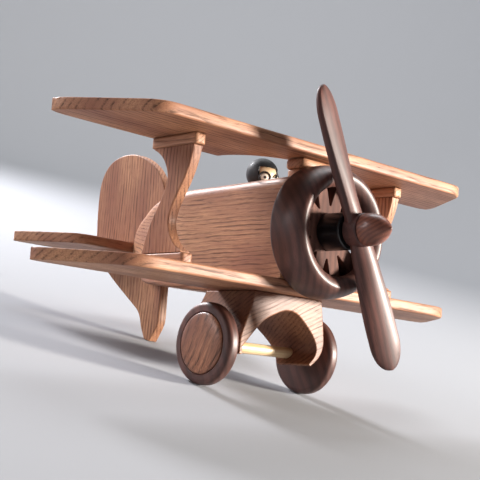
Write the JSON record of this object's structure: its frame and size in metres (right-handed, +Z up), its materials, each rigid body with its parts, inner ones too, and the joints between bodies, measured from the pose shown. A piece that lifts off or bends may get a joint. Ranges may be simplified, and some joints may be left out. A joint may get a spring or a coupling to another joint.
{
  "type": "toy biplane",
  "caption": "Wooden toy biplane on a tail skid, with raked wings, a ring cowl, a two-blade propeller that spins, rolling wheels and a helmeted pilot.",
  "frame": {"origin": "on the ground under the middle of the model's box", "axes": "nose towards -Y, starboard wing towards -X, +Z up, standing nose-up on both wheels and the tail skid"},
  "size_m": [0.458, 0.3796, 0.258],
  "materials": {
    "oak": "clear satin varnish over open grain",
    "walnut": "clear gloss varnish",
    "cherry": "clear satin varnish",
    "birch": "smooth sanded dowel",
    "black_paint": "black enamel on wood",
    "face_paint": "cream paint on wood",
    "white_paint": "white enamel",
    "steel": "plain washer"
  },
  "bodies": {
    "airframe": {"upper_wing": "oak", "lower_wing": "oak", "fuselage": "oak", "cabane_pad": "oak", "cabane_neck": "oak", "cowl_ring": "walnut", "engine_cylinders": "walnut", "crankcase": "black_paint", "thrust_washer": "steel", "strut_starboard": "oak", "upper_pad_starboard": "oak", "lower_pad_starboard": "oak", "strut_port": "oak", "upper_pad_port": "oak", "lower_pad_port": "oak", "landing_gear": "oak", "fin_skid": "oak", "tailplane": "oak", "pilot_torso": "oak", "pilot_head": "face_paint", "pilot_helmet": "black_paint", "goggle_lens_starboard": "white_paint", "goggle_lens_port": "white_paint", "goggles_frame": "black_paint"},
    "propeller_set": {"propeller": "walnut", "spinner": "cherry", "propeller_shaft": "birch", "shaft_collar": "birch"},
    "wheelset": {"axle": "birch", "wheel_starboard": "walnut", "wheel_disc_starboard": "oak", "wheel_port": "walnut", "wheel_disc_port": "oak"}
  },
  "joints": [
    {"name": "propeller_spin", "type": "hinge", "parent": "airframe", "child": "propeller_set", "pos_m": [0, -0.15657, 0.15468], "axis": [0, -0.9642, 0.2651], "continuous": true},
    {"name": "wheelset_roll", "type": "hinge", "parent": "airframe", "child": "wheelset", "pos_m": [0, -0.08318, 0.0338], "axis": [1, 0, 0], "continuous": true}
  ]
}
